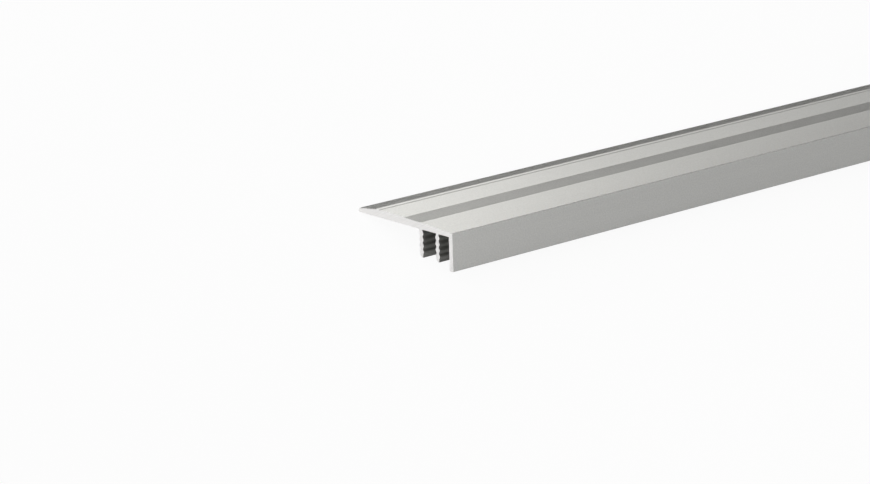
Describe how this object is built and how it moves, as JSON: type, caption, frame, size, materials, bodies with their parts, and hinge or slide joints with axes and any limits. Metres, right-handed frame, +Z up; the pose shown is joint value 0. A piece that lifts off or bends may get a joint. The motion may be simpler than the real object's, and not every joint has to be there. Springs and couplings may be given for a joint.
{
  "type": "stair nosing profile",
  "caption": "Extruded aluminium cover profile for a stair edge, with a fluted tread plate, a drop nose in front and ribbed clip legs beneath.",
  "frame": {"origin": "middle of the bar's footprint, on the floor it lies on", "axes": "+X along the bar, +Y from the nose towards the thin rear edge, +Z up; the bar lies tipped back on its rear leg and rear edge, as it comes to rest when nothing holds it"},
  "size_m": [0.9, 0.0474, 0.0144],
  "materials": {
    "anodised_aluminium": "silver anodised, satin, with lengthwise extrusion lines"
  },
  "bodies": {
    "root": {"nosing_profile": "anodised_aluminium"}
  },
  "joints": []
}
